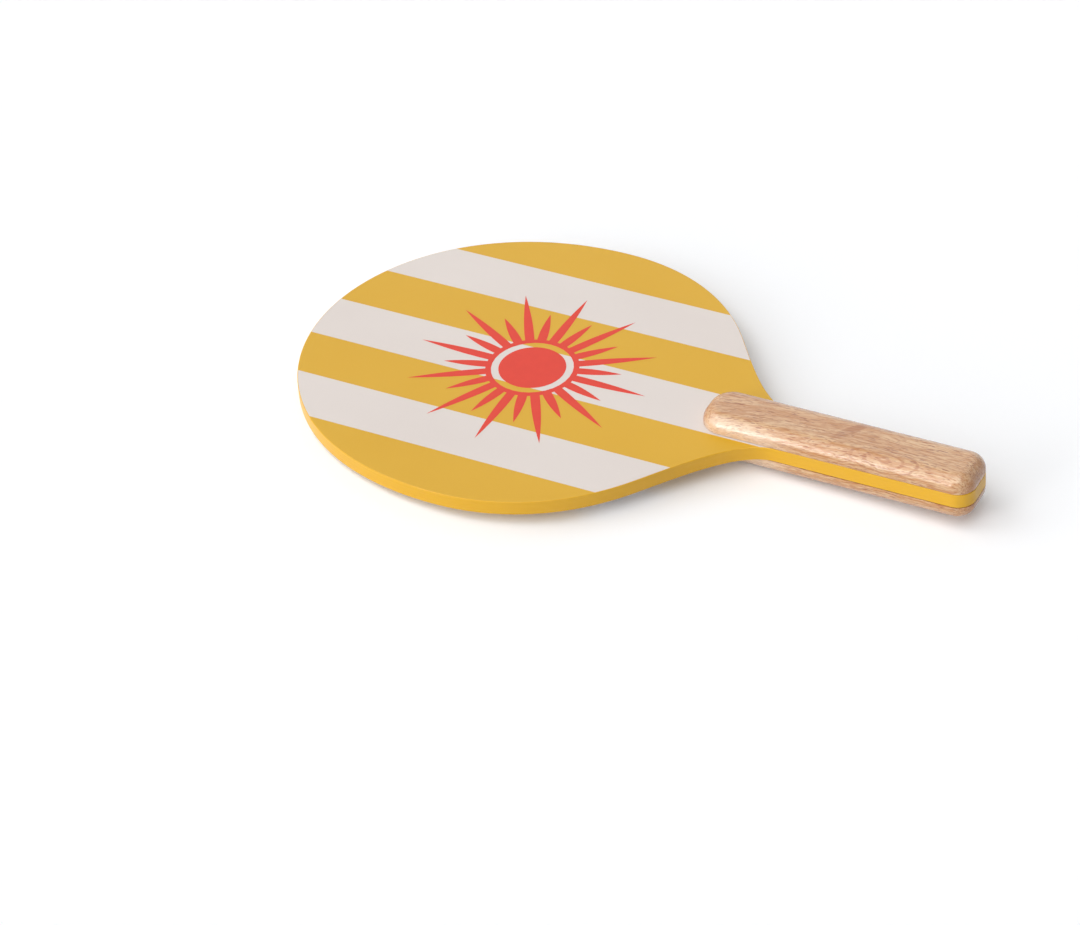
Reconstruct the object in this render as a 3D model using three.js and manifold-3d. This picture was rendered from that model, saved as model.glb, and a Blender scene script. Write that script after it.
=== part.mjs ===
// Frescobol racket: a striped plywood bat with a wooden scale glued to each side of its tang
// Millimetres, +X runs from the blade to the butt, +Z is the front face, and the racket lies on z = 0

import * as THREE from 'three';
import { mergeVertices } from 'three/addons/utils/BufferGeometryUtils.js';
import Module from 'manifold-3d';

const wasm = await Module();
wasm.setup();

// Sizes of the whole racket
const overallLength = 380;
const bladeWidth = 228;
const boardThickness = 8;
const handleThickness = 27;
const handleWidth = 31;
const buttCornerRadius = 10;

// Where the blade is widest, and where the neck has become the tang that runs on to the butt
const tipToWidest = 127;
const widestToTang = 147;

// Layers of the board, from the outside in, with the core taking what is left
const enamelThickness = 0.125;
const veneerThickness = 1.125;
const crossbandThickness = 1.75;

// Handle scales and the glue under them, with how far they reach forward of the tang over the neck
const scaleReach = 45;
const scaleEdgeRadius = 8;
const scaleFrontCornerRadius = 13;
const glueThickness = 0.25;
const glueInset = 0.5;

// Painted stripes: the middle one shows a margin on each side of the handle
// What is left over at the blade's sides is a stripe of its own, unless it is narrower than this share
const stripeWidth = 33;
const middleStripeMargin = 1;
const leastStripeShare = 0.1;

// Printed sun: a disc and, past a gap, a ring that carries the rays
const inkThickness = 0.0625;
const sunRingOuterRadius = 25;
const sunRingWidth = 3;
const sunGapWidth = 4;
const longRayRadius = 66;
const shortRayRadius = 48;
const rayBaseWidth = 5;
const rayBellyWidth = 6;
const rayPairCount = 12;

// Shape of the blade's outline: handles of its three curves on each side of the centre line
const tipRiseShare = 0.512;
const tipSweepShare = 0.63;
const shoulderSweepShare = 0.38;
const turnReachShare = 0.631;
const turnHeightShare = 0.573;
const turnBackShare = 0.1;
const turnOnShare = 0.2;
const tangSweepShare = 0.13;
const turnAngle = THREE.MathUtils.degToRad(53.6);
const rayBellyReachShare = 0.45;

// Smoothness of the curves, and how far a cutting box runs past what it cuts
const outlineSteps = 11;
const edgeSteps = 6;
const circleSteps = 32;
const rayCurveSteps = 3;
const cutOverrun = 5;

// Finishes
const finish = (color, roughness) => new THREE.MeshStandardMaterial({ color, roughness, metalness: 0 });
const birch = finish('#dcc19a', 0.7);
const rubberwood = finish('#d2a582', 0.45);
const yellowEnamel = finish('#e1b64f', 0.5);
const whiteEnamel = finish('#e9e3da', 0.5);
const coralInk = finish('#e2524c', 0.55);
const glue = finish('#8a6a48', 0.6);

// Places worked out from the sizes
const tipX = -overallLength / 2;
const buttX = overallLength / 2;
const widestX = tipX + tipToWidest;
const tangX = widestX + widestToTang;
const scaleFrontX = tangX - scaleReach;
const scaleHeight = (handleThickness - boardThickness) / 2 - glueThickness;
const boardBottomZ = scaleHeight + glueThickness;
const boardTopZ = boardBottomZ + boardThickness;
const coreThickness = boardThickness - 2 * (enamelThickness + veneerThickness + crossbandThickness);
const middleStripeWidth = handleWidth + 2 * middleStripeMargin;
const sunRingInnerRadius = sunRingOuterRadius - sunRingWidth;
const sunDiscRadius = sunRingInnerRadius - sunGapWidth;

// Roundings, kept within the handle's width, the scale's height and the butt's corner
const widestRounding = handleWidth / 2 - glueInset;
const frontRounding = Math.min(scaleFrontCornerRadius, widestRounding);
const buttRounding = Math.min(buttCornerRadius, widestRounding);
const edgeRounding = Math.min(scaleEdgeRadius, scaleHeight - glueThickness, buttRounding - glueInset);

const racket = new THREE.Group();

function add(name, geometry, material, z = 0) {
  const mesh = new THREE.Mesh(geometry, material);
  mesh.name = name;
  mesh.position.z = z;
  racket.add(mesh);
}

function extrude(shape, depth) {
  return new THREE.ExtrudeGeometry(shape, { depth, bevelEnabled: false, curveSegments: rayCurveSteps });
}

// Solids to and from the library that cuts them
function toSolid(geometry) {
  const bare = geometry.clone();
  bare.deleteAttribute('normal');
  bare.deleteAttribute('uv');
  const merged = mergeVertices(bare);
  const vertProperties = Float32Array.from(merged.attributes.position.array);
  const triVerts = Uint32Array.from(merged.index.array);
  return new wasm.Manifold(new wasm.Mesh({ numProp: 3, vertProperties, triVerts }));
}

function toGeometry(solid) {
  const { vertProperties, triVerts } = solid.getMesh();
  const geometry = new THREE.BufferGeometry();
  geometry.setAttribute('position', new THREE.BufferAttribute(vertProperties, 3));
  geometry.setIndex(new THREE.BufferAttribute(triVerts, 1));
  geometry.computeVertexNormals();
  return geometry;
}

function boxBetween(low, high) {
  const size = new THREE.Vector3().subVectors(high, low);
  const middle = new THREE.Vector3().addVectors(low, high).multiplyScalar(0.5);
  return toSolid(new THREE.BoxGeometry(size.x, size.y, size.z).translate(middle.x, middle.y, middle.z));
}

// Outline of the board, as the points of its far half mirrored to the near half
function boardOutline() {
  const halfWidth = bladeWidth / 2 - enamelThickness;
  const tangHalfWidth = handleWidth / 2 - enamelThickness;
  const cornerRadius = buttRounding - enamelThickness;
  const endX = buttX - enamelThickness;
  const startX = tipX + enamelThickness;
  const turn = new THREE.Vector2(widestX + turnReachShare * widestToTang, turnHeightShare * halfWidth);
  const slope = new THREE.Vector2(Math.cos(turnAngle), -Math.sin(turnAngle));
  const beforeTurn = turn.clone().addScaledVector(slope, -turnBackShare * widestToTang);
  const afterTurn = turn.clone().addScaledVector(slope, turnOnShare * widestToTang);
  const half = new THREE.Path();
  half.moveTo(startX, 0);
  half.bezierCurveTo(
    startX, tipRiseShare * halfWidth,
    widestX - tipSweepShare * tipToWidest, halfWidth,
    widestX, halfWidth);
  half.bezierCurveTo(
    widestX + shoulderSweepShare * widestToTang, halfWidth,
    beforeTurn.x, beforeTurn.y,
    turn.x, turn.y);
  half.bezierCurveTo(
    afterTurn.x, afterTurn.y,
    tangX - tangSweepShare * widestToTang, tangHalfWidth,
    tangX, tangHalfWidth);
  half.absarc(endX - cornerRadius, tangHalfWidth - cornerRadius, cornerRadius, Math.PI / 2, 0, true);
  const far = half.getPoints(outlineSteps);
  const near = far.slice(1).reverse().map((point) => new THREE.Vector2(point.x, -point.y));
  return [...far, ...near];
}

// The same outline moved outward along the normals of its sides
function offsetOutline(points, distance) {
  return points.map((point, i) => {
    const before = points[(i + points.length - 1) % points.length];
    const after = points[(i + 1) % points.length];
    const sideIn = point.clone().sub(before).normalize();
    const sideOut = after.clone().sub(point).normalize();
    const normalIn = new THREE.Vector2(-sideIn.y, sideIn.x);
    const normalOut = new THREE.Vector2(-sideOut.y, sideOut.x);
    const mitre = normalIn.clone().add(normalOut).normalize();
    return point.clone().addScaledVector(mitre, distance / mitre.dot(normalIn));
  });
}

// Rounded plan of a handle scale, with its own radius at the front end and at the butt
function scalePlan(inset) {
  const halfWidth = handleWidth / 2 - inset;
  const startX = scaleFrontX + inset;
  const endX = buttX - inset;
  const front = frontRounding - inset;
  const butt = buttRounding - inset;
  const plan = new THREE.Shape();
  plan.absarc(endX - butt, butt - halfWidth, butt, -Math.PI / 2, 0);
  plan.absarc(endX - butt, halfWidth - butt, butt, 0, Math.PI / 2);
  plan.absarc(startX + front, halfWidth - front, front, Math.PI / 2, Math.PI);
  plan.absarc(startX + front, front - halfWidth, front, Math.PI, 3 * Math.PI / 2);
  return plan;
}

// Plies of the board, from the back face to the front face
function addPlies(outline) {
  const plies = [
    ['back_face_veneer', veneerThickness],
    ['back_crossband', crossbandThickness],
    ['core_ply', coreThickness],
    ['front_crossband', crossbandThickness],
    ['front_face_veneer', veneerThickness],
  ];
  let z = boardBottomZ + enamelThickness;
  for (const [name, thickness] of plies) {
    add(name, extrude(new THREE.Shape(outline), thickness), birch, z);
    z += thickness;
  }
}

// Coat round the whole edge of the board
function addEdgeEnamel(outline) {
  const coated = extrude(new THREE.Shape(offsetOutline(outline, enamelThickness)), boardThickness);
  const bare = extrude(new THREE.Shape(outline), boardThickness + 2 * cutOverrun);
  bare.translate(0, 0, -cutOverrun);
  add('edge_enamel', toGeometry(toSolid(coated).subtract(toSolid(bare))), yellowEnamel, boardBottomZ);
}

// Stripes along the racket: the middle one is white, and the colours alternate outward
// They are numbered from the middle, and the outermost ones take what is left of the blade's width
function addStripes(face, outline, z) {
  const film = toSolid(extrude(new THREE.Shape(outline), enamelThickness));
  const middleY = middleStripeWidth / 2;
  const sideCount = Math.ceil((bladeWidth / 2 - middleY) / stripeWidth - leastStripeShare);
  const addBand = (name, colour, lowY, highY) => {
    const band = boxBetween(
      new THREE.Vector3(tipX - cutOverrun, lowY, -cutOverrun),
      new THREE.Vector3(buttX + cutOverrun, highY, enamelThickness + cutOverrun));
    const material = colour === 'white' ? whiteEnamel : yellowEnamel;
    add(`${face}_${colour}_stripe_${name}`, toGeometry(film.intersect(band)), material, z);
  };
  const counts = { white: 1, yellow: 0 };
  addBand(counts.white, 'white', -middleY, middleY);
  for (let i = 1; i <= sideCount; i += 1) {
    const colour = i % 2 === 0 ? 'white' : 'yellow';
    const innerY = middleY + (i - 1) * stripeWidth;
    const outerY = i < sideCount ? innerY + stripeWidth : bladeWidth / 2 + cutOverrun;
    addBand(counts[colour] + 1, colour, -outerY, -innerY);
    addBand(counts[colour] + 2, colour, innerY, outerY);
    counts[colour] += 2;
  }
}

// Printed sun: a disc, and a ring that carries long and short pointed rays
function sunRays() {
  const rays = new THREE.Shape();
  const count = 2 * rayPairCount;
  const pitch = 2 * Math.PI / count;
  const at = (radius, turn) => [widestX + radius * Math.cos(turn), radius * Math.sin(turn)];
  const halfBase = rayBaseWidth / 2 / sunRingOuterRadius;
  rays.moveTo(...at(sunRingOuterRadius, -pitch / 2));
  for (let i = 0; i < count; i += 1) {
    const angle = i * pitch;
    const tipRadius = i % 2 === 0 ? longRayRadius : shortRayRadius;
    const bellyRadius = sunRingOuterRadius + rayBellyReachShare * (tipRadius - sunRingOuterRadius);
    const halfBelly = rayBellyWidth / 2 / bellyRadius;
    const footAfter = at(sunRingOuterRadius, angle + halfBase);
    rays.lineTo(...at(sunRingOuterRadius, angle - halfBase));
    rays.quadraticCurveTo(...at(bellyRadius, angle - halfBelly), ...at(tipRadius, angle));
    rays.quadraticCurveTo(...at(bellyRadius, angle + halfBelly), ...footAfter);
    if (i < count - 1) rays.lineTo(...at(sunRingOuterRadius, angle + pitch / 2));
  }
  const hole = new THREE.Path().absarc(widestX, 0, sunRingInnerRadius, 0, 2 * Math.PI);
  rays.holes.push(new THREE.Path(hole.getSpacedPoints(circleSteps).slice(1)));
  return rays;
}

function addSun(face, z) {
  const disc = new THREE.CylinderGeometry(sunDiscRadius, sunDiscRadius, inkThickness, circleSteps);
  disc.rotateX(Math.PI / 2);
  disc.translate(widestX, 0, inkThickness / 2);
  add(`${face}_sun_disc`, disc, coralInk, z);
  add(`${face}_sun_rays`, extrude(sunRays(), inkThickness), coralInk, z);
}

// Wooden scale with a flat underside and one rounded edge all round its outer face
function scaleSolid() {
  const rounded = toSolid(new THREE.ExtrudeGeometry(scalePlan(0), {
    depth: scaleHeight - edgeRounding,
    bevelEnabled: true,
    bevelThickness: edgeRounding,
    bevelSize: edgeRounding,
    bevelOffset: -edgeRounding,
    bevelSegments: edgeSteps,
    curveSegments: edgeSteps,
  }));
  const kept = boxBetween(
    new THREE.Vector3(tipX - cutOverrun, -bladeWidth, 0),
    new THREE.Vector3(buttX + cutOverrun, bladeWidth, scaleHeight + cutOverrun));
  return rounded.intersect(kept);
}

function addScales() {
  const front = toGeometry(scaleSolid());
  const back = front.clone().rotateX(Math.PI);
  const glueLayer = new THREE.ExtrudeGeometry(scalePlan(glueInset), {
    depth: glueThickness,
    bevelEnabled: false,
    curveSegments: edgeSteps,
  });
  add('front_glue_line', glueLayer, glue, boardTopZ);
  add('back_glue_line', glueLayer.clone(), glue, scaleHeight);
  add('front_handle_scale', front, rubberwood, boardTopZ + glueThickness);
  add('back_handle_scale', back, rubberwood, scaleHeight);
}

const outline = boardOutline();
addPlies(outline);
addEdgeEnamel(outline);
addStripes('front', outline, boardTopZ - enamelThickness);
addStripes('back', outline, boardBottomZ);
addSun('front', boardTopZ);
addSun('back', boardBottomZ - inkThickness);
addScales();

export default racket;
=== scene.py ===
"""Frescobol racket: a painted plywood bat with a lacquered wooden scale on each side of its handle"""

import math
from contextlib import contextmanager

import bmesh
import bpy
from mathutils import Matrix, Vector


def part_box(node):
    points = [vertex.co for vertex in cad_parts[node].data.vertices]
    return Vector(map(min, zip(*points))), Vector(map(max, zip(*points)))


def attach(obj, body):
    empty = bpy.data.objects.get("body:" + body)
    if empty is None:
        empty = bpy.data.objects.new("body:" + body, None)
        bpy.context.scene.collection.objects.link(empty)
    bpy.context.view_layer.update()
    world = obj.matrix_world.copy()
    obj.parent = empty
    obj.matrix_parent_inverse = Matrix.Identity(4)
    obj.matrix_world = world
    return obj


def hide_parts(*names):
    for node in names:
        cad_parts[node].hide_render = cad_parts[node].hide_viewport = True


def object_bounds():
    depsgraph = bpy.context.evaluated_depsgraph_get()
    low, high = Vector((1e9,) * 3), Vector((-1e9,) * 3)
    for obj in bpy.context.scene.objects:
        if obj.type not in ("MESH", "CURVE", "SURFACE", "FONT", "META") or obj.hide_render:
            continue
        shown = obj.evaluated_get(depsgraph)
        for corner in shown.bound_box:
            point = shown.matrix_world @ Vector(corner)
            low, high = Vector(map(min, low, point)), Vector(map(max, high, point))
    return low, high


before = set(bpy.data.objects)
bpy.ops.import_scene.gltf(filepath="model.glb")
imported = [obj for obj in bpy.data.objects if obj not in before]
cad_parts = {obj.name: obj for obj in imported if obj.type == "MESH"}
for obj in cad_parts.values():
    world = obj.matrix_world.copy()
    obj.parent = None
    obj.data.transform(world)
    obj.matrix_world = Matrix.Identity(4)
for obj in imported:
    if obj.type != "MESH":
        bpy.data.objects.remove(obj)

cad_low, cad_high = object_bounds()
MM = 0.001

# Two places closer than this are the same place
SAME_PLACE = 0.001 * MM

# Sizes of the finish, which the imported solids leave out
ARRIS = 0.4 * MM
ARRIS_SEGMENTS = 4
SCALE_ARRIS = 0.25 * MM
SCALE_ARRIS_SEGMENTS = 2

# Roundings of the handle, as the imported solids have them
SCALE_EDGE_RADIUS = 8 * MM
SCALE_EDGE_SEGMENTS = 16
SCALE_FRONT_RADIUS = 13 * MM
BUTT_RADIUS = 10 * MM
CORNER_SEGMENTS = 20

# Bevel profile of a plain round, and the sharpest turn that is shaded smooth
ROUND_PROFILE = 0.5
SMOOTH_ANGLE = math.radians(40)

# Places along the blade, and the handles of its three curves as shares of their spans
TIP_TO_WIDEST = 127 * MM
WIDEST_TO_TANG = 147 * MM
TIP_RISE_SHARE = 0.512
TIP_SWEEP_SHARE = 0.63
SHOULDER_SWEEP_SHARE = 0.38
TURN_REACH_SHARE = 0.631
TURN_HEIGHT_SHARE = 0.573
TURN_BACK_SHARE = 0.1
TURN_ON_SHARE = 0.2
TANG_SWEEP_SHARE = 0.13
TURN_ANGLE = math.radians(53.6)
OUTLINE_STEPS = 40

# Reach of a curve's handles: on a quarter circle a share of its radius, on a straight line a share of
# the length that lies in half the outline, and on a side bowed by one point a share of the way there
QUARTER_SHARE = 0.5523
STRAIGHT_SHARE = 1 / 3
BOW_SHARE = 2 / 3

# Printed sun
SUN_RING_OUTER_RADIUS = 25 * MM
SUN_RING_INNER_RADIUS = 22 * MM
SUN_DISC_RADIUS = 18 * MM
LONG_RAY_RADIUS = 66 * MM
SHORT_RAY_RADIUS = 48 * MM
RAY_BASE_WIDTH = 5 * MM
RAY_BELLY_WIDTH = 6 * MM
RAY_BELLY_REACH_SHARE = 0.45
RAY_PAIR_COUNT = 12
RAY_STEPS = 8
CIRCLE_STEPS = 128

# Places that the frame gives, with the plies from the back to the front
PLY_NODES = ("back_face_veneer", "back_crossband", "core_ply", "front_crossband", "front_face_veneer")
board_low, board_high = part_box("edge_enamel")
scale_low, scale_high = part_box("front_handle_scale")
COAT = board_high.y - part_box("core_ply")[1].y
TIP_X = board_low.x
BUTT_X = board_high.x
HALF_BLADE = board_high.y
HALF_TANG = scale_high.y
WIDEST_X = TIP_X + TIP_TO_WIDEST
TANG_X = WIDEST_X + WIDEST_TO_TANG


# Modelling helpers

def only(piece):
    """Leaves one piece selected and active"""
    bpy.ops.object.select_all(action="DESELECT")
    piece.select_set(True)
    bpy.context.view_layer.objects.active = piece


@contextmanager
def editing(piece):
    """Opens a piece in edit mode, and closes it again"""
    only(piece)
    bpy.ops.object.mode_set(mode="EDIT")
    yield
    bpy.ops.object.mode_set(mode="OBJECT")


def pick(piece, kind, test):
    """Selects the edges or faces of a piece that pass a test, while it is in edit mode"""
    bpy.ops.mesh.select_mode(type=kind)
    bpy.ops.mesh.select_all(action="DESELECT")
    shape = bmesh.from_edit_mesh(piece.data)
    for element in shape.edges if kind == "EDGE" else shape.faces:
        if test(element):
            element.select_set(True)
    shape.select_flush_mode()
    bmesh.update_edit_mesh(piece.data)


def near(value, target):
    """True where two lengths are the same"""
    return abs(value - target) < SAME_PLACE


def lies_level(element, heights):
    """True for an edge or face that lies level at one of these heights"""
    return any(all(near(vertex.co.z, z) for vertex in element.verts) for z in heights)


def stands_at(edge, x):
    """True for an edge that stands upright at this place along the racket"""
    start, end = edge.verts
    return near(start.co.x, x) and near(end.co.x, x) and near(start.co.y, end.co.y)


def round_over(radius, segments):
    """Rounds the selected edges"""
    bpy.ops.mesh.bevel(offset=radius, offset_type="OFFSET", segments=segments, profile=ROUND_PROFILE,
                       affect="EDGES")


def ease_outline(piece, heights, radius, segments):
    """Rounds over the edges that run round a piece at these heights"""
    with editing(piece):
        pick(piece, "EDGE", lambda edge: lies_level(edge, heights))
        round_over(radius, segments)


def settle(piece):
    """Puts a piece's place into its mesh, so that its object sits at the origin"""
    only(piece)
    bpy.ops.object.transform_apply(location=True, rotation=True, scale=True)


def close_up(piece):
    """Merges doubled corners and turns every face outward"""
    with editing(piece):
        bpy.ops.mesh.select_all(action="SELECT")
        bpy.ops.mesh.remove_doubles(threshold=SAME_PLACE)
        bpy.ops.mesh.normals_make_consistent(inside=False)


def thicken(piece, depth):
    """Extrudes a flat sheet upward into a closed plate"""
    with editing(piece):
        bpy.ops.mesh.select_all(action="SELECT")
        bpy.ops.mesh.extrude_region_move(TRANSFORM_OT_translate={"value": (0, 0, depth)})
    close_up(piece)


def smooth(piece):
    """Shades a piece's roundings smooth, with its broad faces kept flat"""
    only(piece)
    bpy.ops.object.shade_smooth_by_angle(angle=SMOOTH_ANGLE)
    bpy.ops.object.modifier_add(type="WEIGHTED_NORMAL")
    weighting = piece.modifiers[-1]
    weighting.keep_sharp = True
    bpy.ops.object.modifier_apply(modifier=weighting.name)


def fit(piece, node, material):
    """Gives a piece its finish, and lets it stand for a solid of the frame"""
    piece.data.materials.clear()
    piece.data.materials.append(material)
    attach(piece, "root")
    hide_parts(node)


# Outlines, whose points are each (handle before, point, handle after)

def both_sides(half):
    """Closes half an outline by mirroring it over the racket's centre line"""
    def flip(place):
        return Vector((place.x, -place.y))
    mirrored = [(flip(after), flip(point), flip(before)) for before, point, after in reversed(half[1:])]
    return half + mirrored


def board_outline():
    """Points round the board, from the tip over the far side to the butt, and back"""
    tip_rise = Vector((0, TIP_RISE_SHARE * HALF_BLADE))
    tip_sweep = Vector((TIP_SWEEP_SHARE * TIP_TO_WIDEST, 0))
    shoulder_sweep = Vector((SHOULDER_SWEEP_SHARE * WIDEST_TO_TANG, 0))
    turn_slope = Vector((math.cos(TURN_ANGLE), -math.sin(TURN_ANGLE)))
    turn_back = turn_slope * TURN_BACK_SHARE * WIDEST_TO_TANG
    turn_on = turn_slope * TURN_ON_SHARE * WIDEST_TO_TANG
    tang_sweep = Vector((TANG_SWEEP_SHARE * WIDEST_TO_TANG, 0))
    corner_along = Vector((QUARTER_SHARE * BUTT_RADIUS, 0))
    corner_across = Vector((0, QUARTER_SHARE * BUTT_RADIUS))
    tip = Vector((TIP_X, 0))
    widest = Vector((WIDEST_X, HALF_BLADE))
    turn = Vector((WIDEST_X + TURN_REACH_SHARE * WIDEST_TO_TANG, TURN_HEIGHT_SHARE * HALF_BLADE))
    tang = Vector((TANG_X, HALF_TANG))
    corner_start = Vector((BUTT_X - BUTT_RADIUS, HALF_TANG))
    corner_end = Vector((BUTT_X, HALF_TANG - BUTT_RADIUS))
    tang_side = (corner_start - tang) * STRAIGHT_SHARE
    butt_face = Vector((0, corner_end.y * STRAIGHT_SHARE))
    return both_sides([
        (tip - tip_rise, tip, tip + tip_rise),
        (widest - tip_sweep, widest, widest + shoulder_sweep),
        (turn - turn_back, turn, turn + turn_on),
        (tang - tang_sweep, tang, tang + tang_side),
        (corner_start - tang_side, corner_start, corner_start + corner_along),
        (corner_end + corner_across, corner_end, corner_end - butt_face),
    ])


def curve_piece(name, loops, steps):
    """Adds a curve made of closed loops of points"""
    bpy.ops.object.select_all(action="DESELECT")
    bpy.ops.curve.primitive_bezier_circle_add()
    piece = bpy.context.object
    piece.name = name
    curve = piece.data
    curve.resolution_u = steps
    while len(curve.splines) < len(loops):
        curve.splines.new("BEZIER")
    for spline, points in zip(curve.splines, loops):
        spline.bezier_points.add(len(points) - len(spline.bezier_points))
        spline.use_cyclic_u = True
        for made, (before, place, after) in zip(spline.bezier_points, points):
            made.handle_left_type = made.handle_right_type = "FREE"
            made.co = place.to_3d()
            made.handle_left = before.to_3d()
            made.handle_right = after.to_3d()
    return piece


def board_sheet(name, z, inset):
    """Makes a flat sheet in the board's outline, drawn in from its edge"""
    sheet = curve_piece(name, [board_outline()], OUTLINE_STEPS)
    only(sheet)
    bpy.ops.object.convert(target="MESH")
    with editing(sheet):
        bpy.ops.mesh.select_all(action="SELECT")
        bpy.ops.mesh.edge_face_add()
        bpy.ops.transform.translate(value=(0, 0, z))
        if inset:
            bpy.ops.mesh.select_mode(type="FACE")
            bpy.ops.mesh.inset(thickness=inset, depth=0, use_even_offset=True)
            bpy.ops.mesh.select_all(action="INVERT")
            bpy.ops.mesh.delete(type="FACE")
    return sheet


# Board and paint

def make_ply(node, material):
    """Cuts one ply to the outline, with the outer corner of a face ply eased to sit under the paint"""
    low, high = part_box(node)
    ply = board_sheet(f"{node}_sheet", low.z, COAT)
    thicken(ply, high.z - low.z)
    eased = [z for z in (low.z, high.z) if near(z, board_low.z + COAT) or near(z, board_high.z - COAT)]
    if eased:
        ease_outline(ply, eased, ARRIS - COAT, ARRIS_SEGMENTS)
    fit(ply, node, material)


def make_edge_coat(material):
    """Sprays the board's edge: a thin skin round it that turns over both arrises"""
    heights = (board_low.z, board_high.z)
    coat = board_sheet("edge_enamel_coat", board_low.z, 0)
    thicken(coat, board_high.z - board_low.z)
    ease_outline(coat, heights, ARRIS, ARRIS_SEGMENTS)
    with editing(coat):
        pick(coat, "FACE", lambda face: lies_level(face, heights))
        bpy.ops.mesh.delete(type="FACE")
    only(coat)
    bpy.ops.object.modifier_add(type="SOLIDIFY")
    skin = coat.modifiers[-1]
    skin.thickness = COAT
    skin.offset = -1
    skin.use_even_offset = True
    bpy.ops.object.modifier_apply(modifier=skin.name)
    close_up(coat)
    smooth(coat)
    fit(coat, "edge_enamel", material)


def make_stripe(node, material):
    """Lays one painted stripe: the part of the face between two straight masked lines"""
    low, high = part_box(node)
    film = board_sheet(f"{node}_film", low.z, ARRIS)
    with editing(film):
        for y, side in ((low.y, "inner"), (high.y, "outer")):
            bpy.ops.mesh.select_all(action="SELECT")
            bpy.ops.mesh.bisect(plane_co=(0, y, 0), plane_no=(0, 1, 0),
                                clear_inner=side == "inner", clear_outer=side == "outer")
    thicken(film, high.z - low.z)
    fit(film, node, material)


# Printed sun

def ray_points():
    """Points round the ring and its rays, long and short in turn, with the rays' sides bowed out"""
    count = 2 * RAY_PAIR_COUNT
    pitch = 2 * math.pi / count
    ring = SUN_RING_OUTER_RADIUS
    half_base = RAY_BASE_WIDTH / 2 / ring

    def at(radius, angle):
        return Vector((WIDEST_X + radius * math.cos(angle), radius * math.sin(angle)))

    points = []
    for i in range(count):
        angle = i * pitch
        tip_radius = SHORT_RAY_RADIUS if i % 2 else LONG_RAY_RADIUS
        belly_radius = ring + RAY_BELLY_REACH_SHARE * (tip_radius - ring)
        half_belly = RAY_BELLY_WIDTH / 2 / belly_radius
        tip = at(tip_radius, angle)
        foot_before = at(ring, angle - half_base)
        foot_after = at(ring, angle + half_base)
        belly_before = at(belly_radius, angle - half_belly)
        belly_after = at(belly_radius, angle + half_belly)
        gap_before = at(ring, angle - pitch / 2)
        gap_after = at(ring, angle + pitch / 2)
        points.append((gap_before, foot_before, foot_before.lerp(belly_before, BOW_SHARE)))
        points.append((tip.lerp(belly_before, BOW_SHARE), tip, tip.lerp(belly_after, BOW_SHARE)))
        points.append((foot_after.lerp(belly_after, BOW_SHARE), foot_after, gap_after))
    return points


def ring_points():
    """Points round the ring's hole, as four quarter circles"""
    reach = QUARTER_SHARE * SUN_RING_INNER_RADIUS
    points = []
    for degrees in (0, 90, 180, 270):
        angle = math.radians(degrees)
        way = Vector((math.cos(angle), math.sin(angle)))
        across = Vector((-way.y, way.x))
        place = Vector((WIDEST_X, 0)) + way * SUN_RING_INNER_RADIUS
        points.append((place - across * reach, place, place + across * reach))
    return points


def print_disc(face, material):
    """Prints the sun's disc on one face"""
    node = f"{face}_sun_disc"
    low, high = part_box(node)
    bpy.ops.object.select_all(action="DESELECT")
    bpy.ops.mesh.primitive_circle_add(vertices=CIRCLE_STEPS, radius=SUN_DISC_RADIUS, fill_type="NGON",
                                      location=(WIDEST_X, 0, low.z))
    disc = bpy.context.object
    disc.name = f"{node}_print"
    settle(disc)
    thicken(disc, high.z - low.z)
    fit(disc, node, material)


def print_rays(face, material):
    """Prints the ring round the disc, and the pointed rays that it carries"""
    node = f"{face}_sun_rays"
    low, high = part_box(node)
    rays = curve_piece(f"{node}_print", [ray_points(), ring_points()], RAY_STEPS)
    rays.data.dimensions = "2D"
    rays.data.fill_mode = "BOTH"
    rays.data.extrude = (high.z - low.z) / 2
    rays.location.z = (low.z + high.z) / 2
    only(rays)
    bpy.ops.object.convert(target="MESH")
    settle(rays)
    close_up(rays)
    fit(rays, node, material)


# Handle

def rounded_block(name, node, front_radius, butt_radius):
    """Cuts a block to a node's box, and rounds its front and butt corners in plan"""
    low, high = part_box(node)
    bpy.ops.object.select_all(action="DESELECT")
    bpy.ops.mesh.primitive_cube_add(size=1, location=(low + high) / 2, scale=high - low)
    block = bpy.context.object
    block.name = name
    settle(block)
    with editing(block):
        for x, radius in ((low.x, front_radius), (high.x, butt_radius)):
            pick(block, "EDGE", lambda edge: stands_at(edge, x))
            round_over(radius, CORNER_SEGMENTS)
    return block


def make_scale(side, material):
    """Shapes a handle scale: rounded over all round its outer face, and just eased along the glue"""
    node = f"{side}_handle_scale"
    low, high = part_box(node)
    outer_z, glue_z = (high.z, low.z) if side == "front" else (low.z, high.z)
    scale = rounded_block(f"{node}_wood", node, SCALE_FRONT_RADIUS, BUTT_RADIUS)
    ease_outline(scale, [outer_z], SCALE_EDGE_RADIUS, SCALE_EDGE_SEGMENTS)
    ease_outline(scale, [glue_z], SCALE_ARRIS, SCALE_ARRIS_SEGMENTS)
    close_up(scale)
    smooth(scale)
    fit(scale, node, material)


def make_glue_line(side, material):
    """Lays the glue under a scale: a thin line that sits back from the edges of wood and board"""
    node = f"{side}_glue_line"
    inset = HALF_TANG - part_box(node)[1].y
    bead = rounded_block(f"{node}_bead", node, SCALE_FRONT_RADIUS - inset, BUTT_RADIUS - inset)
    close_up(bead)
    smooth(bead)
    fit(bead, node, material)


# Materials

# Sockets of a colour mix, whose names its number and vector sockets share
MIX_FACTOR, MIX_FIRST, MIX_SECOND = 0, 6, 7
MIX_RESULT = 2

# Refraction of paint, ink and wood alike, and of the lacquer, set a little high for its strong gloss
COMMON_IOR = 1.5
LACQUER_IOR = 1.65


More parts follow.
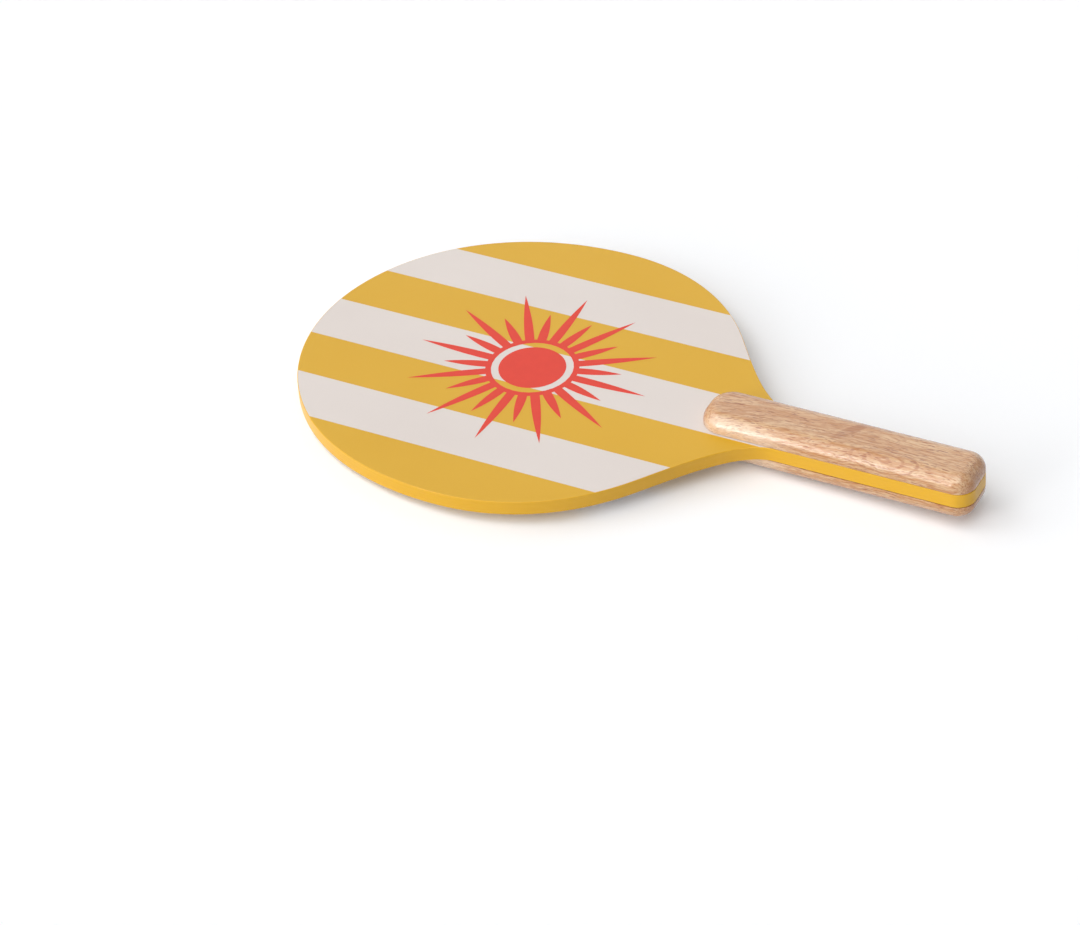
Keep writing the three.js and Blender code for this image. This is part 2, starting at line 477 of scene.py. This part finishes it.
def linear(code):
    """Turns an sRGB hex colour into the linear colour that a shader takes, by the standard's curve"""
    channels = [int(code[i:i + 2], 16) / 255 for i in (1, 3, 5)]
    return [c / 12.92 if c <= 0.04045 else ((c + 0.055) / 1.055) ** 2.4 for c in channels] + [1]


def per_mm(*sizes):
    """Scale of a pattern whose features are this many millimetres along each axis"""
    return [1 / (size * MM) for size in sizes]


def add_node(tree, kind, settings=None, inputs=None):
    """Adds a shader node with its settings, and sets each input to a value or links it to an output"""
    made = tree.nodes.new("ShaderNode" + kind)
    for name, value in (settings or {}).items():
        setattr(made, name, value)
    for name, value in (inputs or {}).items():
        if isinstance(value, bpy.types.NodeSocket):
            tree.links.new(value, made.inputs[name])
        else:
            made.inputs[name].default_value = value
    return made


def new_material(name):
    """Starts a material, and returns it with its node tree and its shader"""
    material = bpy.data.materials.new(name)
    material.use_nodes = True
    tree = material.node_tree
    return material, tree, tree.nodes["Principled BSDF"]


def enamel(name, light, dark, roughness, ply_joints=()):
    """Satin spray enamel over sanded plywood
    It gives the eye an even colour, a soft broad sheen and a faint orange peel, and on a board's edge
    the joints of the plies show through as hairlines"""
    cloud_sizes = (70, 45, 20)
    peel_sizes = (1.6, 1.6, 1.6)
    peel_depth = 0.03 * MM
    roughness_range = 0.08
    # The joints are drawn a little wider than they are, to show at this distance
    joint_reach = 0.35 * MM
    joint_depth = 0.06 * MM
    far_off = 1

    material, tree, shader = new_material(name)
    place = add_node(tree, "TexCoord").outputs["Object"]
    cloud_at = add_node(tree, "Mapping", inputs={"Vector": place, "Scale": per_mm(*cloud_sizes)})
    cloud = add_node(tree, "TexNoise", inputs={"Vector": cloud_at.outputs[0], "Scale": 1, "Detail": 3})
    colour = add_node(tree, "Mix", {"data_type": "RGBA"},
                      {MIX_FACTOR: cloud.outputs["Fac"],
                       MIX_FIRST: linear(light), MIX_SECOND: linear(dark)})
    tree.links.new(colour.outputs[MIX_RESULT], shader.inputs["Base Color"])
    sheen = add_node(tree, "MapRange", inputs={"Value": cloud.outputs["Fac"], "To Min": roughness,
                                               "To Max": roughness + roughness_range})
    tree.links.new(sheen.outputs[0], shader.inputs["Roughness"])
    peel_at = add_node(tree, "Mapping", inputs={"Vector": place, "Scale": per_mm(*peel_sizes)})
    peel = add_node(tree, "TexNoise", inputs={"Vector": peel_at.outputs[0], "Scale": 1, "Detail": 2})
    bump = add_node(tree, "Bump", inputs={"Height": peel.outputs["Fac"], "Strength": 0.25,
                                          "Distance": peel_depth})
    if ply_joints:
        height = add_node(tree, "SeparateXYZ", inputs={"Vector": place}).outputs["Z"]
        nearest = far_off
        for z in ply_joints:
            above = add_node(tree, "Math", {"operation": "SUBTRACT"}, {0: height, 1: z}).outputs[0]
            apart = add_node(tree, "Math", {"operation": "ABSOLUTE"}, {0: above}).outputs[0]
            nearest = add_node(tree, "Math", {"operation": "MINIMUM"}, {0: nearest, 1: apart}).outputs[0]
        hairline = add_node(tree, "MapRange", {"interpolation_type": "SMOOTHSTEP"},
                            {"Value": nearest, "From Max": joint_reach})
        bump = add_node(tree, "Bump", inputs={"Height": hairline.outputs[0], "Strength": 0.5,
                                              "Distance": joint_depth, "Normal": bump.outputs[0]})
    tree.links.new(bump.outputs[0], shader.inputs["Normal"])
    shader.inputs["IOR"].default_value = COMMON_IOR
    return material


def screen_ink():
    """Satin screen-printing ink on the enamel
    It gives a flat strong coral with a slightly uneven lay-down and a fine pressed texture"""
    lay_sizes = (6, 6, 6)
    # The press of the screen's mesh is drawn coarser than it is, to show at this distance
    press_sizes = (0.8, 0.8, 0.8)
    press_depth = 0.02 * MM

    material, tree, shader = new_material("coral_screen_ink")
    place = add_node(tree, "TexCoord").outputs["Object"]
    lay_at = add_node(tree, "Mapping", inputs={"Vector": place, "Scale": per_mm(*lay_sizes)})
    lay = add_node(tree, "TexNoise", inputs={"Vector": lay_at.outputs[0], "Scale": 1, "Detail": 4})
    colour = add_node(tree, "Mix", {"data_type": "RGBA"},
                      {MIX_FACTOR: lay.outputs["Fac"],
                       MIX_FIRST: linear("#DC3822"), MIX_SECOND: linear("#D2301B")})
    tree.links.new(colour.outputs[MIX_RESULT], shader.inputs["Base Color"])
    press_at = add_node(tree, "Mapping", inputs={"Vector": place, "Scale": per_mm(*press_sizes)})
    press = add_node(tree, "TexNoise", inputs={"Vector": press_at.outputs[0], "Scale": 1})
    bump = add_node(tree, "Bump", inputs={"Height": press.outputs["Fac"], "Strength": 0.3,
                                          "Distance": press_depth})
    tree.links.new(bump.outputs[0], shader.inputs["Normal"])
    shader.inputs["Roughness"].default_value = 0.5
    shader.inputs["IOR"].default_value = COMMON_IOR
    return material


def birch():
    """Rotary-cut birch veneer, bare and sanded, which lies hidden under the paint
    It gives a pale cream with faint wavy figure along the grain"""
    figure_sizes = (90, 4, 4)
    pore_depth = 0.05 * MM

    material, tree, shader = new_material("birch_veneer")
    place = add_node(tree, "TexCoord").outputs["Object"]
    figure_at = add_node(tree, "Mapping", inputs={"Vector": place, "Scale": per_mm(*figure_sizes)})
    figure = add_node(tree, "TexNoise", inputs={"Vector": figure_at.outputs[0], "Scale": 1, "Detail": 4})
    colour = add_node(tree, "Mix", {"data_type": "RGBA"},
                      {MIX_FACTOR: figure.outputs["Fac"],
                       MIX_FIRST: linear("#E2CDA6"), MIX_SECOND: linear("#D2B68A")})
    tree.links.new(colour.outputs[MIX_RESULT], shader.inputs["Base Color"])
    bump = add_node(tree, "Bump", inputs={"Height": figure.outputs["Fac"], "Strength": 0.2,
                                          "Distance": pore_depth})
    tree.links.new(bump.outputs[0], shader.inputs["Normal"])
    shader.inputs["Roughness"].default_value = 0.7
    return material


def cured_glue():
    """Cured wood glue in the joint under a scale
    It gives a thin dark amber line with a slightly lumpy edge"""
    lump_sizes = (3, 3, 3)
    lump_depth = 0.1 * MM

    material, tree, shader = new_material("cured_wood_glue")
    place = add_node(tree, "TexCoord").outputs["Object"]
    lumps_at = add_node(tree, "Mapping", inputs={"Vector": place, "Scale": per_mm(*lump_sizes)})
    lumps = add_node(tree, "TexNoise", inputs={"Vector": lumps_at.outputs[0], "Scale": 1})
    colour = add_node(tree, "Mix", {"data_type": "RGBA"},
                      {MIX_FACTOR: lumps.outputs["Fac"],
                       MIX_FIRST: linear("#6E4F33"), MIX_SECOND: linear("#4E3622")})
    tree.links.new(colour.outputs[MIX_RESULT], shader.inputs["Base Color"])
    bump = add_node(tree, "Bump", inputs={"Height": lumps.outputs["Fac"], "Strength": 0.5,
                                          "Distance": lump_depth})
    tree.links.new(bump.outputs[0], shader.inputs["Normal"])
    shader.inputs["Roughness"].default_value = 0.5
    return material


# Rubberwood

# Where along the handle the grain runs straight, how fast it curves away from there, per metre, how far
# it wanders, and the lengths in millimetres over which it does
GRAIN_STRAIGHT_X = 170 * MM
GRAIN_CURVE = 0.84
GRAIN_DRIFT = 4 * MM
DRIFT_SIZES = (40, 16, 16)

# Patterns drawn out along the grain: kind of texture, length and width in millimetres, and its settings
# Fibres and vessels are drawn wider than they are, to show at this distance
GRAIN_PATTERNS = {
    "bands": ("TexNoise", 110, 7, {"Detail": 2}),
    "streaks": ("TexNoise", 15, 1.3, {"Detail": 3, "Roughness": 0.6}),
    "fibres": ("TexNoise", 5, 0.6, {"Detail": 2}),
    "crowd": ("TexNoise", 20, 4, {"Detail": 1}),
    "long_vessels": ("TexVoronoi", 9, 1.1, {}),
    "short_vessels": ("TexVoronoi", 4.5, 0.8, {}),
}

# Patches that fade out from their middles, by centre and half size: the arched rings, the ripple of
# figure across the grain, turned by its angle, and the pale patch at the near front corner, partly paler
# outer wood and partly a painted highlight
RING_CENTRE = Vector((142, -10, 29)) * MM
RING_SIZE = Vector((37, 14, 14)) * MM
FIGURE_CENTRE = Vector((118, 2, 27)) * MM
FIGURE_SIZE = Vector((13, 3.5, 12)) * MM
FIGURE_ANGLE = math.radians(53)
SAPWOOD_AND_HIGHLIGHT_CENTRE = Vector((55, -17, 13.5)) * MM
SAPWOOD_AND_HIGHLIGHT_SIZE = Vector((48, 9, 30)) * MM

# About five wavy rings from the centre of their patch to its edge
RING_WAVES = {"Scale": 1.6, "Distortion": 1.5, "Detail": 2, "Detail Scale": 3}

# How strongly each shows: the pattern it reads, the two levels of that pattern between which it changes,
# and its amount at each of them
AMOUNTS = {
    "bands": ("bands", 0.35, 0.65, 0, 1),
    "streaks": ("streaks", 0.42, 0.62, 0, 0.65),
    "fibres": ("fibres", 0.46, 0.64, 0, 0.6),
    "crowd": ("crowd", 0.36, 0.60, 0.4, 1),
    "long_vessels": ("long_vessels", 0.17, 0.30, 1, 0),
    "short_vessels": ("short_vessels", 0.15, 0.26, 0.9, 0),
    "bent_light": ("streaks", 0.40, 0.56, 0.2, 1),
    # The pale corner patch is partly paler wood and partly a painted highlight
    "sapwood_and_painted_highlight": ("sapwood_and_painted_highlight", 0, 0.6, 0, 0.45),
    "rings": ("rings", 0.70, 1, 0, 0.6),
    "ring_reach": ("ring_reach", 0.30, 0.50, 0, 1),
    "figure": ("figure", 0, 0.4, 0, 1),
    # Sideways faces are made greyer as painted shade, to hold down the light on the rounded shoulders.
    # End grain is darker wood, deepened further as painted shade
    "side_grain_and_painted_shade": ("side", 0.20, 0.60, 0, 0.45),
    "end_grain_and_painted_shade": ("end", 0.55, 0.95, 0, 0.5),
}

# Amounts that are then worked out from two others, in this order
JOINED_AMOUNTS = (
    ("vessels", "MAXIMUM", "long_vessels", "short_vessels"),
    ("vessels", "MULTIPLY", "vessels", "crowd"),
    ("rings", "MULTIPLY", "rings", "ring_reach"),
    ("figure", "MULTIPLY", "figure", "bent_light"),
)

# Colour of the plain wood, and the colours laid over it, in this order
WOOD_COLOUR = "#D7B085"
SHADES = {
    "bands": "#C69363",
    # Greyer tone of sideways faces: painted shade
    "side_grain_and_painted_shade": "#CCAA82",
    "figure": "#9A5826",
    # Darker end grain: partly the wood's own, partly painted shade on the butt
    "end_grain_and_painted_shade": "#A05614",
    "rings": "#9E5E38",
    "streaks": "#B37436",
    "fibres": "#A86629",
    "vessels": "#904C1A",
    # Pale cream over the near front corner: partly paler wood, partly a painted highlight
    "sapwood_and_painted_highlight": "#F6E0C8",
}

# The lacquer: its wrinkles along and across the grain in millimetres, drawn a little coarser than they
# are to show at this distance, how high they and the fibres stand, and how deep it sinks over a vessel
WRINKLE_SIZES = (2, 0.7, 0.7)
WRINKLE_HEIGHT = 0.08 * MM
VESSEL_DEPTH = 0.1 * MM


def grain_place(tree, place):
    """Coordinates along the grain, which runs out of the handle at its front and parallel at its butt"""
    apart = add_node(tree, "SeparateXYZ", inputs={"Vector": place}).outputs
    to_butt = add_node(tree, "Math", {"operation": "SUBTRACT"},
                       {0: apart["X"], 1: GRAIN_STRAIGHT_X}).outputs[0]
    squared = add_node(tree, "Math", {"operation": "MULTIPLY"}, {0: to_butt, 1: to_butt}).outputs[0]
    across = add_node(tree, "Math", {"operation": "MULTIPLY_ADD"},
                      {0: squared, 1: GRAIN_CURVE, 2: apart["Y"]}).outputs[0]
    curved = add_node(tree, "CombineXYZ", inputs={"X": apart["X"], "Y": across, "Z": apart["Z"]})
    drift_at = add_node(tree, "Mapping", inputs={"Vector": place, "Scale": per_mm(*DRIFT_SIZES)})
    drift = add_node(tree, "TexNoise", inputs={"Vector": drift_at.outputs[0], "Scale": 1, "Detail": 1})
    return add_node(tree, "VectorMath", {"operation": "MULTIPLY_ADD"},
                    {0: drift.outputs["Color"], 1: (0, GRAIN_DRIFT, GRAIN_DRIFT),
                     2: curved.outputs[0]}).outputs[0]


def wood_patterns(tree, place, normal, grain):
    """The patterns of the wood, by name"""
    pattern = {}
    for name, (kind, length, width, settings) in GRAIN_PATTERNS.items():
        at = add_node(tree, "Mapping", inputs={"Vector": grain, "Scale": per_mm(length, width, width)})
        texture = add_node(tree, kind, inputs={"Vector": at.outputs[0], "Scale": 1, **settings})
        pattern[name] = texture.outputs[0]

    # Patches: the one of the rings bends with the grain, and the others stay as they are
    patch_at = {}
    for name, followed, centre, size, angle in (
            ("ring_reach", grain, RING_CENTRE, RING_SIZE, 0),
            ("figure", place, FIGURE_CENTRE, FIGURE_SIZE, FIGURE_ANGLE),
            ("sapwood_and_painted_highlight", place, SAPWOOD_AND_HIGHLIGHT_CENTRE, SAPWOOD_AND_HIGHLIGHT_SIZE, 0)):
        patch_at[name] = add_node(tree, "Mapping", {"vector_type": "TEXTURE"},
                                  {"Vector": followed, "Location": centre, "Rotation": (0, 0, angle),
                                   "Scale": size}).outputs[0]
        pattern[name] = add_node(tree, "TexGradient", {"gradient_type": "SPHERICAL"},
                                 {"Vector": patch_at[name]}).outputs["Fac"]
    pattern["rings"] = add_node(tree, "TexWave", {"wave_type": "RINGS", "rings_direction": "SPHERICAL"},
                                {"Vector": patch_at["ring_reach"], **RING_WAVES}).outputs["Fac"]

    # Surfaces that face along the handle show end grain, and those that face sideways side grain. Both
    # also carry painted shade: the sides are dulled to hold down the light on the rounded shoulders, and
    # the end grain is deepened for the shade on the butt
    facing = add_node(tree, "SeparateXYZ", inputs={"Vector": normal}).outputs
    for name, axis in (("end", "X"), ("side", "Y")):
        pattern[name] = add_node(tree, "Math", {"operation": "ABSOLUTE"}, {0: facing[axis]}).outputs[0]
    return pattern


def wood_amounts(tree, pattern):
    """How strongly each pattern shows, by name"""
    amount = {}
    for name, (source, low, high, at_low, at_high) in AMOUNTS.items():
        amount[name] = add_node(tree, "MapRange", {"interpolation_type": "SMOOTHSTEP"},
                                {"Value": pattern[source], "From Min": low, "From Max": high,
                                 "To Min": at_low, "To Max": at_high}).outputs[0]
    for name, operation, first, second in JOINED_AMOUNTS:
        amount[name] = add_node(tree, "Math", {"operation": operation},
                                {0: amount[first], 1: amount[second]}).outputs[0]
    return amount


def rubberwood():
    """Rubberwood, sanded round and sealed with a clear gloss lacquer
    It gives a warm tan with soft growth bands, a few arched rings and a ripple of figure where the saw
    met them, a pale patch at the near front corner that is partly paler outer wood and partly a painted
    highlight, greyer sides that are painted shade over the lit shoulders, and darker end grain, deepened
    further by painted shade at the butt
    Open vessels show as fine red-brown dashes along the grain, and break up the lacquer's highlight"""
    material, tree, shader = new_material("lacquered_rubberwood")
    coordinates = add_node(tree, "TexCoord").outputs
    grain = grain_place(tree, coordinates["Object"])
    pattern = wood_patterns(tree, coordinates["Object"], coordinates["Normal"], grain)
    amount = wood_amounts(tree, pattern)

    colour = linear(WOOD_COLOUR)
    for name, shade in SHADES.items():
        colour = add_node(tree, "Mix", {"data_type": "RGBA"},
                          {MIX_FACTOR: amount[name], MIX_FIRST: colour,
                           MIX_SECOND: linear(shade)}).outputs[MIX_RESULT]
    tree.links.new(colour, shader.inputs["Base Color"])

    rough = add_node(tree, "MapRange", inputs={"Value": amount["vessels"],
                                               "To Min": 0.30, "To Max": 0.55})
    tree.links.new(rough.outputs[0], shader.inputs["Roughness"])
    wrinkle_at = add_node(tree, "Mapping", inputs={"Vector": grain, "Scale": per_mm(*WRINKLE_SIZES)})
    wrinkle = add_node(tree, "TexNoise",
                       inputs={"Vector": wrinkle_at.outputs[0], "Scale": 1, "Detail": 2})
    rise = add_node(tree, "Math", {"operation": "ADD"}, {0: pattern["fibres"], 1: wrinkle.outputs["Fac"]})
    raised = add_node(tree, "Bump", inputs={"Height": rise.outputs[0], "Strength": 1,
                                            "Distance": WRINKLE_HEIGHT})
    sunk = add_node(tree, "Bump", {"invert": True},
                    {"Height": amount["vessels"], "Strength": 1, "Distance": VESSEL_DEPTH,
                     "Normal": raised.outputs[0]})
    for socket in ("Normal", "Coat Normal"):
        tree.links.new(sunk.outputs[0], shader.inputs[socket])
    shader.inputs["IOR"].default_value = COMMON_IOR
    # The lacquer soaks into the wood, so nearly all of the gloss is the lacquer's own
    shader.inputs["Specular IOR Level"].default_value = 0.1
    shader.inputs["Coat Weight"].default_value = 1
    shader.inputs["Coat IOR"].default_value = LACQUER_IOR
    shader.inputs["Coat Roughness"].default_value = 0.15
    return material


# Camera, floor and light

# The photograph's view: azimuth, elevation and roll of the camera, what it looks at, how far off it
# stands, its lens in millimetres, and how far it sees. Distances are in metres
VIEW_AZIMUTH = math.radians(29.40)
VIEW_ELEVATION = math.radians(37.88)
VIEW_ROLL = math.radians(-4.21)
VIEW_AIM = Vector((-22.4, -71.3, 17.5)) * MM
VIEW_DISTANCE = 1.8993
LENS = 123.83
CLIP_END = 50

# The floor's side in metres, its colour, and the light that it adds where the camera or a gloss sees it
FLOOR_SIZE = 12
FLOOR_COLOUR = "#F8F9FB"
FLOOR_GLOW = 0.09

WHITE = "#FFFFFF"

# Light on a level face, as shares of what a sky of strength one gives: the even sky's, and each softbox's
# after its azimuth, elevation and spread in degrees. The key is two boxes, one above the other
SKY_SHARE = 0.10
SOFTBOXES = {
    "key_softbox_top": (-26, 26, 18, 0.06),
    "key_softbox_foot": (-24, 11, 18, 0.03),
    "side_softbox": (-52, 16, 36, 0.055),
    "near_softbox": (14, 34, 50, 0.06),
    "top_softbox": (-8, 65, 60, 0.435),
    "left_softbox": (-80, 45, 40, 0.18),
    "back_softbox": (-165, 35, 60, 0.08),
}


def toward(azimuth, elevation):
    """Direction from the object to a place at this azimuth and elevation"""
    return Vector((math.sin(azimuth) * math.cos(elevation), -math.cos(azimuth) * math.cos(elevation),
                   math.sin(elevation)))


def add_camera():
    """Looks down on the racket from the near side of its handle, as the photograph does"""
    back = toward(VIEW_AZIMUTH, VIEW_ELEVATION)
    bpy.ops.object.camera_add(location=VIEW_AIM + back * VIEW_DISTANCE)
    camera = bpy.context.object
    turn = back.to_track_quat("Z", "Y").to_matrix() @ Matrix.Rotation(VIEW_ROLL, 3, "Z")
    camera.rotation_euler = turn.to_euler()
    camera.data.lens = LENS
    camera.data.clip_end = CLIP_END
    bpy.context.scene.camera = camera


def add_seen_white(tree, unseen, seen):
    """Strength of a white that is one thing to the eye, in gloss and through glass too, and another
    where it lights"""
    ray = add_node(tree, "LightPath").outputs
    looked = add_node(tree, "Math", {"operation": "MAXIMUM"},
                      {0: ray["Is Camera Ray"], 1: ray["Is Glossy Ray"]}).outputs[0]
    looked = add_node(tree, "Math", {"operation": "MAXIMUM"},
                      {0: looked, 1: ray["Is Transmission Ray"]}).outputs[0]
    return add_node(tree, "MapRange",
                    inputs={"Value": looked, "To Min": unseen, "To Max": seen}).outputs[0]


def add_floor():
    """Lays a pale floor under the places that the racket rests on, the back scale's flat and the tip"""
    rest_x = scale_low.x + SCALE_EDGE_RADIUS
    tip_x = TIP_X + ARRIS
    slope = math.atan2(board_low.z - cad_low.z, rest_x - tip_x)
    bpy.ops.mesh.primitive_plane_add(size=FLOOR_SIZE, location=(rest_x, 0, cad_low.z),
                                     rotation=(0, slope, 0))
    floor = bpy.context.object
    floor.name = "floor"
    material, tree, shader = new_material("white_floor")
    shader.inputs["Base Color"].default_value = linear(FLOOR_COLOUR)
    shader.inputs["Roughness"].default_value = 0.9
    shader.inputs["Specular IOR Level"].default_value = 0
    shader.inputs["Emission Color"].default_value = linear(WHITE)
    tree.links.new(add_seen_white(tree, 0, FLOOR_GLOW), shader.inputs["Emission Strength"])
    floor.data.materials.append(material)


def add_softbox(name, azimuth, elevation, spread, share):
    """A broad soft light, as wide in the sky as its spread, that gives a level face its share of light"""
    way = toward(math.radians(azimuth), math.radians(elevation))
    bpy.ops.object.light_add(type="SUN", location=way)
    lamp = bpy.context.object
    lamp.name = name
    lamp.rotation_euler = way.to_track_quat("Z", "Y").to_euler()
    lamp.data.angle = math.radians(spread)
    lamp.data.energy = share * math.pi / math.sin(math.radians(elevation))


def add_light():
    """Soft studio light: an even sky that looks white, and softboxes near, left, above and behind"""
    world = bpy.context.scene.world or bpy.data.worlds.new("studio")
    bpy.context.scene.world = world
    world.use_nodes = True
    tree = world.node_tree
    tree.nodes.clear()
    sky = add_node(tree, "Background", inputs={"Color": linear(WHITE),
                                               "Strength": add_seen_white(tree, SKY_SHARE, 1)})
    add_node(tree, "OutputWorld", inputs={"Surface": sky.outputs[0]})
    for name, (azimuth, elevation, spread, share) in SOFTBOXES.items():
        add_softbox(name, azimuth, elevation, spread, share)


add_camera()
add_floor()
add_light()

birch_veneer = birch()
for ply_node in PLY_NODES:
    make_ply(ply_node, birch_veneer)
ply_joints = [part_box(ply_node)[1].z for ply_node in PLY_NODES[:-1]]
# The edge wears the same mustard enamel as the faces. Its colours are set brighter and deeper than theirs
# as painted light, for how light and gloss fall on the walls
make_edge_coat(enamel("mustard_enamel_with_painted_edge_light", "#DEAA17", "#D8A211", 0.30, ply_joints))

yellow_face = enamel("mustard_satin_enamel", "#D7A71B", "#D19F15", 0.40)
white_face = enamel("warm_white_satin_enamel", "#DFD6D0", "#D9CFC9", 0.40)
for stripe_node in sorted(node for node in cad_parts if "stripe" in node):
    if "white" in stripe_node:
        make_stripe(stripe_node, white_face)
    else:
        make_stripe(stripe_node, yellow_face)

coral = screen_ink()
wood = rubberwood()
glue = cured_glue()
for face_name in ("front", "back"):
    print_disc(face_name, coral)
    print_rays(face_name, coral)
    make_glue_line(face_name, glue)
    make_scale(face_name, wood)

bpy.context.scene.view_settings.view_transform = "Standard"
